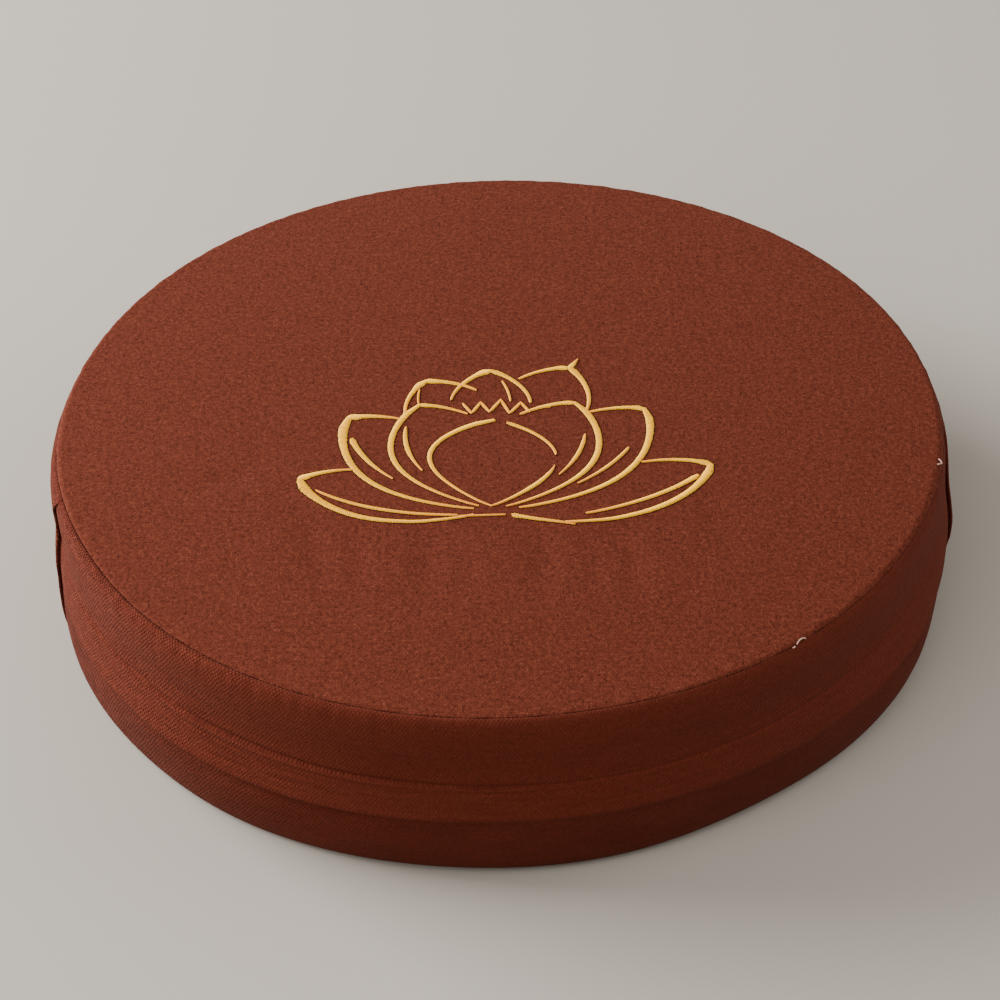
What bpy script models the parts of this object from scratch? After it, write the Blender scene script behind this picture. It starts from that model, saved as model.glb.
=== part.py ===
"""A round, flat meditation cushion: a sewn cloth cover drawn tight over a round slab of filling.

The origin is the middle of the underside, +Z is up, and the front of the cushion faces -Y.
Lengths are in metres. Angles go round +Z from +X, so the front is at 270 degrees.

The cover has four pieces. A round top panel and a round bottom panel are sewn to a side band.
The band is cut in two: the front band, which is the bare wall of the filled body, and the back
band, whose upright ends lap over it and stand a little proud.
"""

import math
from typing import NamedTuple

import bmesh
import bpy

MM = 0.001

# Driving dimensions
SEAM_RADIUS = 195.9 * MM  # from the axis to the seam of either panel
SEAM_HEIGHT = 87.0 * MM  # from the floor to the top seam
CROWN = 4.0 * MM  # how far the middle of the top stands above its seam
CLOTH = 1.5 * MM  # a panel's or the back band's cloth, with its turned-in seam allowance
GAP = 0.3 * MM  # between two pieces that touch
SEAM_DIP = 0.9 * MM  # how deep a seam draws the cloth in
DITCH = CLOTH + 2 * GAP  # how far under the skin the body meets a panel's rim

# The plan is pressed slightly oval, longest from the back right to the front left, and it is a
# little fuller in front than behind.
OVAL = 0.018
OVAL_ANGLE = math.radians(50)
FULLER_FRONT = 0.003
BACK_DRAWN_IN = 1.6 * MM  # how much closer the wall is drawn in all round the back
BACK_SPREAD = math.radians(92)

# The back band's two upright ends, just on the visible side of the outline seen from the front.
LEFT_END = math.radians(191.5)
RIGHT_END = math.radians(355.5)
CREVICE = math.radians(0.18)  # the slit between such an end and the front band
RISE = math.radians(0.12)  # over which the body comes back up to the skin beside the slit
FRONT_STEPS = 44
BACK_STEPS = 46

PANEL_BROWN = (0.185, 0.042, 0.024)
BAND_BROWN = (0.165, 0.034, 0.018)
CLOTH_ROUGHNESS = 0.85
SHARP_EDGE = math.radians(50)


class Row(NamedTuple):
    """One ring of the cushion's skin, at its place in the upright section through the axis."""

    radius: float
    height: float
    lean: float  # degrees; the cloth's thickness runs down at 90, inwards at 0 and up at -90
    fold: float = 0.0  # how far a fold of the band pushes this ring out, where folds are strongest
    lap: float = 0.0  # how far the back band stands proud here


class PanelRing(NamedTuple):
    """One ring of a round panel, level or leaning a little outwards where it dips to its seam."""

    share: float  # of the seam's radius
    lean: float  # degrees


TOP_RINGS = (
    PanelRing(0.0, 90),
    PanelRing(0.35, 90),
    PanelRing(0.62, 90),
    PanelRing(0.82, 90),
    PanelRing(0.93, 90),
    PanelRing(0.985, 82),
)
BOTTOM_RINGS = (
    PanelRing(0.0, 90),
    PanelRing(0.55, 90),
    PanelRing(0.95, 90),
    PanelRing(0.985, 82),
)
RIM_LEAN = 75  # degrees, of a panel's edge in its seam
CROWN_POWER = 2.6  # 2 is a dome, and more is flatter in the middle


def panel_rows(rings, level, crown, side):
    """A panel's rows from its middle to its rim; side is 1 for the top and -1 for the bottom."""
    rows = [
        Row(SEAM_RADIUS * ring.share, level + crown * (1 - ring.share**CROWN_POWER), side * ring.lean)
        for ring in rings
    ]
    rim = Row(SEAM_RADIUS - GAP / 2, level - side * SEAM_DIP, side * RIM_LEAN)
    return rows + [rim]


TOP_ROWS = panel_rows(TOP_RINGS, SEAM_HEIGHT, CROWN, 1)
BOTTOM_ROWS = panel_rows(BOTTOM_RINGS, 0.0, 0.0, -1)

# The side band from the top seam to the bottom one, in millimetres. It turns over a soft shoulder,
# is drawn in down to a crease, swells into a belly, and tucks in under a second crease.
BAND_TABLE = (
    # radius, height, lean, fold, lap
    (196.05, 86.1, 75, 0.0, 0.0),  # edge in the top seam
    (197.00, 86.6, 62, 0.0, 0.1),  # lip
    (198.60, 85.1, 45, 0.0, 0.5),  # shoulder
    (199.80, 82.0, 22, 0.0, 1.1),
    (200.40, 77.5, 6, 0.0, 1.4),
    (200.40, 72.0, 0, 0.0, 1.4),  # wall
    (200.00, 66.0, 0, -0.4, 1.4),
    (199.90, 59.5, 0, -1.0, 1.4),  # drawn in
    (200.10, 55.6, 0, -0.6, 1.4),
    (200.50, 52.6, 0, -2.2, 1.4),  # upper crease
    (200.90, 49.4, 0, 0.8, 1.4),
    (201.90, 43.0, 0, 0.3, 1.4),  # belly
    (202.70, 36.8, 0, 0.8, 1.4),
    (202.90, 32.8, 0, -1.8, 1.4),  # lower crease
    (202.60, 28.8, 0, -0.4, 1.4),
    (201.90, 20.0, 0, 0.0, 1.4),
    (200.90, 11.5, -8, 0.0, 1.2),  # tucked in
    (199.20, 4.3, -35, 0.0, 0.5),
    (197.20, 0.7, -62, 0.0, 0.1),  # lip
    (196.05, 0.9, -75, 0.0, 0.0),  # edge in the bottom seam
)
BAND_ROWS = [
    Row(radius * MM, height * MM, lean, fold * MM, lap * MM)
    for radius, height, lean, fold, lap in BAND_TABLE
]


class Swelling(NamedTuple):
    """A place where the filling pushes the wall out, or leaves it slack if depth is negative."""

    angle: float  # degrees round the axis
    height: float
    spread: float  # degrees
    rise: float
    depth: float


SWELLINGS = (
    Swelling(352.0, 52 * MM, 10.5, 17 * MM, 3.4 * MM),
    Swelling(331.0, 24 * MM, 12.0, 18 * MM, 2.5 * MM),
    Swelling(301.0, 16 * MM, 15.0, 18 * MM, -1.6 * MM),
    Swelling(262.0, 58 * MM, 12.0, 14 * MM, -0.8 * MM),
    Swelling(232.0, 34 * MM, 15.0, 16 * MM, 0.8 * MM),
    Swelling(218.0, 10 * MM, 11.0, 13 * MM, -1.2 * MM),
    Swelling(188.0, 36 * MM, 16.0, 25 * MM, -2.6 * MM),
    Swelling(152.0, 44 * MM, 18.0, 20 * MM, 1.0 * MM),
    Swelling(96.0, 46 * MM, 20.0, 20 * MM, -1.0 * MM),
    Swelling(38.0, 42 * MM, 18.0, 20 * MM, 0.8 * MM),
)


def nearness(angle, place, spread):
    """1 at a place round the axis, fading away from it over the spread."""
    turn = math.remainder(angle - place, math.tau)
    return math.exp(-((turn / spread) ** 2))


class Stretch(NamedTuple):
    """A stretch of the wall round which the folds are more marked."""

    angle: float  # degrees round the axis
    spread: float  # degrees
    strength: float


FAINTEST_FOLD = 0.35
FOLD_STRETCHES = (
    Stretch(243, 38, 0.65),
    Stretch(312, 24, 0.30),
)


def fold_strength(angle):
    """How marked the band's folds are, from faint behind to full at the front left."""
    return FAINTEST_FOLD + sum(
        place.strength * nearness(angle, math.radians(place.angle), math.radians(place.spread))
        for place in FOLD_STRETCHES
    )


class Wave(NamedTuple):
    """A slow wave with this many crests in one round."""

    crests: int
    height: float
    phase: float


FOLD_WAVES = (Wave(2, 1.5 * MM, -0.24), Wave(5, 0.9 * MM, 3.14))
TOP_WAVES = (Wave(2, 0.7 * MM, 2.4), Wave(3, 0.4 * MM, 0.4))


def waved(waves, angle):
    return sum(wave.height * math.sin(wave.crests * angle + wave.phase) for wave in waves)


def fold_wander(angle, height):
    """How far the folds run up and down the wall on their way round; none at the seams."""
    up = min(max(height / SEAM_HEIGHT, 0.0), 1.0)
    return waved(FOLD_WAVES, angle) * math.sin(math.pi * up) ** 2


def swell(angle, height):
    """How far the filling pushes the wall out at this place."""
    behind = math.remainder(angle - math.pi / 2, math.tau) / BACK_SPREAD
    total = -BACK_DRAWN_IN * math.exp(-(behind**8))
    for place in SWELLINGS:
        around = nearness(angle, math.radians(place.angle), math.radians(place.spread))
        up = (height - place.height) / place.rise
        total += place.depth * around * math.exp(-(up**2))
    return total


SAG_START = 0.8 * SEAM_HEIGHT  # the wall under this height doesn't follow the top's waves


def top_sag(angle, radius, height):
    """How far the uneven filling lifts or drops the top; most at its rim, and none in the middle."""
    share = min(radius / SEAM_RADIUS, 1.0)
    above = min(max((height - SAG_START) / (SEAM_HEIGHT - SAG_START), 0.0), 1.0)
    return waved(TOP_WAVES, angle) * share**2 * above


class Lift(NamedTuple):
    """A stretch of the underside's rim that curls up off the floor."""

    angle: float  # degrees round the axis
    spread: float  # degrees
    height: float


RIM_LIFTS = (Lift(304, 17, 3.8 * MM), Lift(264, 22, 2.4 * MM), Lift(222, 12, 1.0 * MM))
LIFT_POWER = 8  # how close to the rim the underside stays flat
LIFT_END = 24 * MM  # the wall over this height doesn't follow the rim


def rim_lift(angle, radius, height):
    """How far the underside's edge is off the floor; none a little way in from the rim."""
    share = min(radius / SEAM_RADIUS, 1.0)
    below = min(max(1 - height / LIFT_END, 0.0), 1.0)
    lift = sum(
        place.height * nearness(angle, math.radians(place.angle), math.radians(place.spread))
        for place in RIM_LIFTS
    )
    return lift * share**LIFT_POWER * below


def settled(row, angle, depth):
    """Where a point of the section comes to lie: on a row of the skin, or at a depth under it."""
    lean = math.radians(row.lean)
    radius = row.radius + row.fold * fold_strength(angle) - depth * math.cos(lean)
    height = row.height - depth * math.sin(lean)
    on_wall = math.cos(lean) ** 2
    radius += swell(angle, row.height) * on_wall
    radius *= 1 + OVAL * math.cos(2 * (angle - OVAL_ANGLE)) - FULLER_FRONT * math.sin(angle)
    height += fold_wander(angle, row.height) * on_wall
    height += top_sag(angle, row.radius, row.height) + rim_lift(angle, row.radius, row.height)
    return radius * math.cos(angle), radius * math.sin(angle), height


def under_back_band(angle):
    """True where the body lies under the back band, or in the slit at either end of it."""
    turn = math.remainder(angle - (LEFT_END + RIGHT_END) / 2, math.tau)
    bare = (RIGHT_END - LEFT_END) / 2 - CREVICE - RISE
    return abs(turn) > bare + RISE / 2


class SectionPoint(NamedTuple):
    """A corner of a piece's section: a row of the skin and how deep under it, in front and behind."""

    row: Row
    depth: float
    back_depth: float


def at(row, depth, back_depth=None):
    return SectionPoint(row, depth, depth if back_depth is None else back_depth)


def spin(name, section, start, arcs, material, around):
    """A solid of one section spun round the axis through arcs of (angle, steps), then settled.

    Each vertex keeps the number of its corner of the section, by which it is settled at the end.
    """
    mesh_maker = bmesh.new()
    corner = mesh_maker.verts.layers.int.new("corner")
    verts = []
    for number, point in enumerate(section):
        x, y = point.row.radius * math.cos(start), point.row.radius * math.sin(start)
        vert = mesh_maker.verts.new((x, y, point.row.height + number * MM))
        vert[corner] = number
        verts.append(vert)
    ends = list(zip(verts, verts[1:]))
    if not around:
        ends.append((verts[-1], verts[0]))
    edges = [mesh_maker.edges.new(pair) for pair in ends]
    last = verts + edges
    angles = {vert: start for vert in verts}
    turned = start
    for angle, steps in arcs:
        for _ in range(steps):
            turned += angle / steps
            made = bmesh.ops.spin(
                mesh_maker, geom=last, cent=(0, 0, 0), axis=(0, 0, 1), angle=angle / steps, steps=1
            )
            last = made["geom_last"]
            angles.update({v: turned for v in last if isinstance(v, bmesh.types.BMVert)})
    for vert, angle in angles.items():
        point = section[vert[corner]]
        depth = point.back_depth if under_back_band(angle) else point.depth
        vert.co = settled(point.row, angle, depth)
    if around:
        bmesh.ops.remove_doubles(mesh_maker, verts=mesh_maker.verts, dist=0.001 * MM)
    else:
        open_edges = [edge for edge in mesh_maker.edges if edge.is_boundary]
        bmesh.ops.holes_fill(mesh_maker, edges=open_edges, sides=0)
    bmesh.ops.recalc_face_normals(mesh_maker, faces=mesh_maker.faces)
    mesh_maker.verts.layers.int.remove(corner)
    mesh = bpy.data.meshes.new(name)
    mesh_maker.to_mesh(mesh)
    mesh_maker.free()
    mesh.shade_smooth()
    mesh.set_sharp_from_angle(angle=SHARP_EDGE)
    mesh.materials.append(material)
    piece = bpy.data.objects.new(name, mesh)
    bpy.context.scene.collection.objects.link(piece)
    return piece


def cloth_material(name, colour):
    material = bpy.data.materials.new(name)
    material.use_nodes = True
    shader = material.node_tree.nodes["Principled BSDF"]
    shader.inputs["Base Color"].default_value = (*colour, 1.0)
    shader.inputs["Roughness"].default_value = CLOTH_ROUGHNESS
    shader.inputs["Metallic"].default_value = 0.0
    material.diffuse_color = (*colour, 1.0)
    return material


FRONT_ARCS = (
    (CREVICE, 1),
    (RISE, 1),
    (RIGHT_END - LEFT_END - 2 * (CREVICE + RISE), FRONT_STEPS),
    (RISE, 1),
    (CREVICE, 1),
)
BACK_ARC = (math.tau - (RIGHT_END - LEFT_END), BACK_STEPS)


def panel(name, rows, material):
    """A round of cloth: its outer face from the middle to the rim, and its inner face back again."""
    outer = [at(row, 0.0) for row in rows]
    inner = [at(row, CLOTH) for row in reversed(rows)]
    return spin(name, outer + inner, LEFT_END, (*FRONT_ARCS, BACK_ARC), material, around=True)


def back_band(material):
    """A strip from seam to seam round the back, lapping over the front band at both ends."""
    outer = [at(row, -row.lap) for row in BAND_ROWS]
    inner = [at(row, CLOTH - row.lap) for row in reversed(BAND_ROWS)]
    return spin("back_band", outer + inner, RIGHT_END, (BACK_ARC,), material, around=False)


def filled_body(material):
    """The one filled solid: crowned under the top panel, its wall bare in front and covered behind."""
    covered = CLOTH + GAP
    top_edge, bottom_edge = BAND_ROWS[0], BAND_ROWS[-1]
    section = [at(row, covered) for row in TOP_ROWS]
    section.append(at(top_edge, DITCH))
    section += [at(row, 0.0, covered - row.lap) for row in BAND_ROWS]
    section.append(at(bottom_edge, DITCH))
    section += [at(row, covered) for row in reversed(BOTTOM_ROWS)]
    return spin("filled_body", section, LEFT_END, (*FRONT_ARCS, BACK_ARC), material, around=True)


def build():
    for old in list(bpy.data.objects):
        bpy.data.objects.remove(old)
    panel_cloth = cloth_material("brown_panel_cloth", PANEL_BROWN)
    band_cloth = cloth_material("brown_band_cloth", BAND_BROWN)
    pieces = [
        panel("top_panel", TOP_ROWS, panel_cloth),
        filled_body(band_cloth),
        back_band(band_cloth),
        panel("bottom_panel", BOTTOM_ROWS, panel_cloth),
    ]
    whole = bpy.data.objects.new("cushion", None)
    bpy.context.scene.collection.objects.link(whole)
    for piece in pieces:
        piece.parent = whole


build()
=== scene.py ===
import math

import bmesh
import bpy
import numpy as np
from mathutils import Matrix


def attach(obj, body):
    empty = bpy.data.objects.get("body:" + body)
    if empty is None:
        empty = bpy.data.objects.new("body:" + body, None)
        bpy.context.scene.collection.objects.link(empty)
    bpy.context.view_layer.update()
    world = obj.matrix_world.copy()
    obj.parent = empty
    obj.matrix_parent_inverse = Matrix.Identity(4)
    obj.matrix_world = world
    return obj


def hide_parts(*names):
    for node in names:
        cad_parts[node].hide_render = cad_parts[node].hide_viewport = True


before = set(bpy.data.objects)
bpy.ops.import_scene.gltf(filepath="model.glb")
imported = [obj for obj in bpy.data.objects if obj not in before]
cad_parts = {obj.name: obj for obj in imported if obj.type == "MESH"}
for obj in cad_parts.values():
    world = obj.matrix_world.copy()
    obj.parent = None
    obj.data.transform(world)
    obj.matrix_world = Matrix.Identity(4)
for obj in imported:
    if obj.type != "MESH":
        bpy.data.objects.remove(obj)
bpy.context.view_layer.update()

# --- camera -----------------------------------------------------------------------------------
# A long lens looks down at the cushion from the front, high enough to see all of the top panel
# and a strip of the front band.
CAMERA_PLACE = (-0.0003, -1.3003, 1.0792)
CAMERA_DIP = math.radians(38.57)
CAMERA_ROLL = math.radians(0.12)



def placed(name, data):
    """A new object in the scene."""
    thing = bpy.data.objects.new(name, data)
    bpy.context.scene.collection.objects.link(thing)
    return thing


camera_data = bpy.data.cameras.new("camera")
camera_data.lens = 131.4
camera_data.sensor_width = 36.0
camera = placed("camera", camera_data)
camera.matrix_world = (
    Matrix.Translation(CAMERA_PLACE)
    @ Matrix.Rotation(math.radians(90) - CAMERA_DIP, 4, "X")
    @ Matrix.Rotation(CAMERA_ROLL, 4, "Z")
)
bpy.context.scene.camera = camera

# --- studio -----------------------------------------------------------------------------------
# A plain pale floor, a large soft lamp at the back left, weaker ones at the right and over the
# front, and a little light from all round.
FLOOR_SIZE = 8.0
FLOOR_COLOUR = (0.36, 0.320, 0.272)
ROOM_GREY = 0.53

floor_mesh = bpy.data.meshes.new("floor")
half = FLOOR_SIZE / 2
floor_mesh.from_pydata(
    [(-half, -half, 0), (half, -half, 0), (half, half, 0), (-half, half, 0)], [], [(0, 1, 2, 3)]
)
floor_paint = bpy.data.materials.new("pale_floor")
floor_paint.use_nodes = True
floor_shader = floor_paint.node_tree.nodes["Principled BSDF"]
floor_shader.inputs["Base Color"].default_value = (*FLOOR_COLOUR, 1)
floor_shader.inputs["Roughness"].default_value = 0.9
floor_mesh.materials.append(floor_paint)
floor = placed("floor", floor_mesh)

room = bpy.data.worlds.new("room")
room.use_nodes = True
room.node_tree.nodes["Background"].inputs["Color"].default_value = (1.0, 0.98, 0.95, 1)
room.node_tree.nodes["Background"].inputs["Strength"].default_value = ROOM_GREY
bpy.context.scene.world = room


def soft_lamp(name, azimuth, elevation, distance, size, power):
    """A square lamp aimed at the cushion; azimuth goes round +Z from +X."""
    data = bpy.data.lights.new(name, "AREA")
    data.size = size
    data.energy = power
    lamp = placed(name, data)
    lamp.matrix_world = (
        Matrix.Rotation(math.radians(azimuth + 90), 4, "Z")
        @ Matrix.Rotation(math.radians(90 - elevation), 4, "X")
        @ Matrix.Translation((0, 0, distance))
    )


soft_lamp("window", azimuth=160, elevation=22, distance=2.2, size=1.6, power=172)
soft_lamp("right_wall", azimuth=10, elevation=24, distance=2.8, size=2.0, power=42)
soft_lamp("ceiling", azimuth=240, elevation=44, distance=2.8, size=2.4, power=49)

# --- filled body with the front band ------------------------------------------------------------
# The round slab of filling in its cover. Its bare wall is the front band, a full-height strip of
# brown slub cloth sewn to both panels. It is drawn in under the top seam, creased across, swells
# into a belly and tucks in below.
MM = 0.001
SEAM_RADIUS = 195.9 * MM
SEAM_HEIGHT = 87.0 * MM
CROWN = 4.0 * MM
CROWN_POWER = 2.6
CLOTH = 1.5 * MM
GAP = 0.3 * MM
OVAL = 0.018
OVAL_ANGLE = math.radians(50)
FULLER_FRONT = 0.003
LEFT_END = math.radians(191.5)
RIGHT_END = math.radians(355.5)
BACK_DRAWN_IN = 1.6 * MM

WALL = np.array(
    [  # radius and height
        (192.0, 87.1),  # under the top panel
        (195.9, 87.0),  # the edge of the crown
        (197.6, 86.3),
        (199.0, 84.8),  # shoulder
        (199.9, 82.4),
        (200.3, 79.2),
        (200.4, 75.5),
        (200.3, 71.0),
        (200.0, 66.0),
        (199.9, 59.5),  # drawn in
        (200.4, 52.6),
        (201.9, 43.0),  # belly
        (202.7, 32.8),
        (202.4, 28.0),
        (201.9, 20.0),
        (200.9, 11.5),  # tucked in
        (199.2, 4.4),
        (197.7, 1.2),
        (195.9, 0.0),  # the bottom seam
        (192.0, 0.0),  # under the bottom panel
    ]
) * MM

SWELLINGS = (  # angle, height, spread, rise, depth: degrees and millimetres
    (352.0, 52, 10.5, 17, 3.4),
    (333.0, 22, 13.0, 20, 3.2),
    (301.0, 16, 15.0, 18, -1.6),
    (262.0, 58, 12.0, 14, -0.8),
    (232.0, 34, 15.0, 16, 0.8),
    (218.0, 10, 11.0, 13, -1.2),
    (188.0, 36, 16.0, 25, -2.6),
    (152.0, 44, 18.0, 20, 1.0),
    (96.0, 46, 20.0, 20, -1.0),
    (38.0, 42, 18.0, 20, 0.8),
)

# Where the two long creases run: angle and height.
UPPER_HEIGHT = 52.6
UPPER_COURSE = ((190, 49.5), (203, 51.5), (215, 52.9), (228, 51.8), (240, 51.4), (250, 51.0),
                (262, 51.0), (275, 51.2), (290, 50.8), (305, 50.6), (320, 50.6), (333, 50.6),
                (350, 50.0))
LOWER_HEIGHT = 32.8
LOWER_COURSE = ((190, 36.5), (205, 35.5), (217, 34.6), (228, 33.2), (238, 32.6), (248, 32.6),
                (258, 33.4), (268, 33.8), (278, 33.4), (290, 32.4), (300, 31.0), (312, 30.4),
                (325, 30.0), (335, 30.6), (350, 32.0))

# How strong they are round the wall: angle and strength.
UPPER_STRENGTH = ((190, 0.25), (203, 0.5), (211, 0.9), (216, 0.65), (222, 1.0), (229, 0.85),
                  (236, 1.1), (244, 0.95), (251, 0.65), (258, 0.75), (265, 0.5), (272, 0.6),
                  (281, 0.3), (290, 0.4), (304, 0.25), (320, 0.5), (333, 0.4), (341, 0.1), (350, 0.0))
LEDGE_STRENGTH = ((205, 0.0), (216, 0.25), (226, 0.4), (232, 1.0), (240, 1.0), (248, 0.7),
                  (256, 0.6), (266, 0.35), (280, 0.2), (300, 0.1), (350, 0.0))
LOWER_STRENGTH = ((190, 0.1), (205, 0.3), (214, 0.8), (221, 0.7), (229, 1.0), (238, 0.85),
                  (246, 1.0), (254, 0.8), (262, 0.6), (272, 0.4), (290, 0.3), (310, 0.35),
                  (328, 0.4), (350, 0.2))

# Their sections: height, and how far the cloth stands out there.
UPPER_SECTION = ((72, 0.0), (66, -0.3), (60, -0.7), (56.5, -0.8), (54.4, -0.9), (53.6, -1.2),
                 (53.0, -1.9), (52.5, -1.9), (51.9, -0.8), (51.2, -0.15), (49.6, -0.1),
                 (47.0, 0.0), (38.0, 0.0))
LEDGE_SECTION = ((53.8, 0.0), (52.9, -0.2), (52.3, 0.7), (51.5, 1.25), (50.2, 0.8), (47.5, 0.2),
                 (44.0, 0.0))
LOWER_SECTION = ((44.0, 0.0), (40.5, 0.05), (37.4, 0.5), (35.6, 0.95), (34.2, 1.0),
                 (33.4, 0.5), (32.7, -0.7), (32.0, -1.3), (30.4, -1.1), (26.0, -0.6),
                 (20.0, -0.2), (13.0, 0.0))

# Small slack wrinkles: first angle, last angle, height, drift, depth and width.
WRINKLES = (
    (232, 243, 68.4, -0.6, 0.57, 0.8), (233, 241, 69.9, 0.5, 0.42, 0.7),
    (226, 234, 66.8, -0.8, 0.34, 0.9), (221, 228, 64.6, 1.0, 0.37, 0.9),
    (204, 219, 55.4, -0.8, 0.51, 0.9), (207, 217, 47.6, 0.8, 0.37, 0.9),
    (203, 213, 44.5, 1.2, 0.34, 0.9), (219, 229, 57.2, -0.9, 0.37, 0.9),
    (223, 233, 60.5, 1.0, 0.31, 1.0), (214, 226, 43.5, 0.8, 0.37, 0.8),
    (226, 238, 48.6, -0.5, 0.58, 0.7), (231, 243, 43.4, 0.8, 0.58, 0.7),
    (238, 251, 46.4, -0.5, 0.51, 0.8), (229, 242, 39.6, 0.6, 0.58, 0.7),
    (243, 258, 49.0, -0.4, 0.44, 0.7), (240, 254, 41.4, -0.5, 0.44, 0.8),
    (250, 266, 47.0, 0.5, 0.34, 0.9), (252, 264, 43.0, 0.5, 0.27, 0.9),
    (262, 276, 49.4, -0.4, 0.31, 0.9), (266, 281, 45.0, -0.5, 0.24, 1.1),
    (281, 297, 41.6, -0.5, 0.27, 1.1), (290, 304, 46.4, 0.6, 0.14, 1.1),
    (303, 318, 39.2, 0.8, 0.21, 1.2), (312, 326, 46.6, -0.8, 0.21, 1.1),
    (321, 334, 37.6, 0.9, 0.25, 1.1), (317, 329, 56.5, -0.8, 0.21, 1.1),
    (318, 331, 34.6, 0.6, 0.23, 1.0), (324, 333, 75.0, 1.2, 0.18, 1.3),
    (216, 228, 28.5, 1.2, 0.34, 1.2), (222, 236, 24.5, -1.0, 0.24, 1.4),
    (243, 257, 29.6, 0.6, 0.27, 1.1), (262, 277, 26.0, -0.8, 0.17, 1.5),
    (286, 303, 24.0, 1.0, 0.11, 1.6), (212, 224, 73.5, 1.0, 0.24, 1.4),
    (255, 268, 73.0, -1.0, 0.20, 1.6), (280, 296, 68.0, 1.0, 0.17, 1.8),
)


def turn(angle, place):
    """The signed angle from a place, the short way round."""
    return (angle - place + math.pi) % math.tau - math.pi


def near(angle, place, spread):
    return np.exp(-((turn(angle, math.radians(place)) / math.radians(spread)) ** 2))


def eased(x, points):
    """A smooth curve through a short table of points, level past both of its ends."""
    table = np.array(points, float)
    table = table[np.argsort(table[:, 0])]
    place, value = table[:, 0], table[:, 1]
    slope = np.gradient(value, place)
    slope[0] = slope[-1] = 0.0
    x = np.clip(x, place[0], place[-1])
    i = np.clip(np.searchsorted(place, x) - 1, 0, len(place) - 2)
    run = place[i + 1] - place[i]
    t = (x - place[i]) / run
    return (
        value[i] * (1 + 2 * t) * (1 - t) ** 2
        + value[i + 1] * t**2 * (3 - 2 * t)
        + run * (slope[i] * t * (1 - t) ** 2 - slope[i + 1] * t**2 * (1 - t))
    )


def plan(angle):
    """The pressed-oval plan, as a share of the round one."""
    return 1 + OVAL * np.cos(2 * (angle - OVAL_ANGLE)) - FULLER_FRONT * np.sin(angle)


def top_waves(angle):
    return (0.7 * np.sin(2 * angle + 2.4) + 0.4 * np.sin(3 * angle + 0.4)) * MM


def rim_lift(angle):
    return (3.8 * near(angle, 304, 17) + 2.4 * near(angle, 264, 22) + 1.0 * near(angle, 222, 12)) * MM


def roll(angle):
    """How far the top panel laps down over the shoulder to its seam: most round the back."""
    front = np.maximum(near(angle, 226, 34), near(angle, 262, 34))
    behind = 1 / (1 + np.exp((np.abs(turn(angle, math.pi / 2)) - 1.75) / 0.1))
    return (0.4 + 2.0 * (1 - np.minimum(1.4 * front, 1)) + 3.4 * behind) * MM


def pinch(angle, distance):
    """How deep a seam draws the cloth in, by the distance from it."""
    return (0.35 + 0.65 * near(angle, 216, 34)) * MM * np.exp(-distance / (1.0 * MM))


def swell(angle, height):
    """How far the filling pushes the wall out."""
    behind = turn(angle, math.pi / 2) / math.radians(92)
    total = -BACK_DRAWN_IN / MM * np.exp(-(behind**8))
    for place, level, spread, rise, depth in SWELLINGS:
        up = (height / MM - level) / rise
        total = total + depth * near(angle, place, spread) * np.exp(-(up**2))
    return total * MM


def course_shift(angle, height):
    """How far the rows move up or down, so that two of them follow the long creases."""
    degrees = np.degrees(angle) % 360
    front = near(angle, 270, 95)
    upper = (eased(degrees, UPPER_COURSE) - UPPER_HEIGHT) * front
    lower = (eased(degrees, LOWER_COURSE) - LOWER_HEIGHT) * front
    level = height / MM
    above = np.clip((84 - level) / (84 - UPPER_HEIGHT), 0, 1)
    between = np.clip((UPPER_HEIGHT - level) / (UPPER_HEIGHT - LOWER_HEIGHT), 0, 1)
    below = np.clip((level - 4) / (LOWER_HEIGHT - 4), 0, 1)
    moved = np.where(level > UPPER_HEIGHT, upper * above, upper * (1 - between) + lower * between)
    return np.where(level < LOWER_HEIGHT, lower * below, moved) * MM


def creases(angle, height):
    """The long creases, the small wrinkles and the gathers under the top seam."""
    degrees = np.degrees(angle) % 360
    level = height / MM
    upper = eased(degrees, UPPER_STRENGTH) * eased(level, UPPER_SECTION)
    upper = upper + eased(degrees, LEDGE_STRENGTH) * eased(level, LEDGE_SECTION)
    lower = eased(degrees, LOWER_STRENGTH) * eased(level, LOWER_SECTION)
    behind = 0.35 * near(angle, 90, 100)
    visible = 1 - near(angle, 90, 88)
    push = (upper + lower) * np.maximum(visible, behind)
    for first, last, start, drift, depth, width in WRINKLES:
        along = (degrees - first) / (last - first)
        centre = start + drift * along + 0.25 * np.sin(7.3 * along + start)
        fade = np.sin(math.pi * np.clip(along, 0, 1)) ** 1.3
        across = (level - centre) / width
        push = push - depth * fade * (np.exp(-(across**2)) - 0.6 * np.exp(-((across + 1.7) ** 2)))
    gathered = np.exp(-(((83.5 - level) / 5.0) ** 2))
    gathers = (
        np.sin(67 * angle + 1.1 * np.sin(5 * angle))
        + 0.8 * np.sin(109 * angle + 2.3 + 1.7 * np.sin(7 * angle))
        + 0.7 * np.sin(187 * angle + 0.9 * np.sin(11 * angle))
    )
    lumps = (
        np.sin(11 * angle + 0.05 * level + 1.3)
        + 0.8 * np.sin(19 * angle - 0.11 * level + 0.4)
        + 0.6 * np.sin(29 * angle + 0.16 * level + 2.6)
    )
    middle = np.sin(math.pi * np.clip(level / 87, 0, 1)) ** 2
    return (push + 0.09 * gathered * gathers + 0.12 * middle * lumps) * MM


wall_steps = np.concatenate([[0], np.cumsum(np.hypot(*np.diff(WALL, axis=0).T))])
wall_steps -= wall_steps[1]
WALL_LENGTH = wall_steps[-2]  # from the edge of the crown down to the bottom seam


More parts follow.
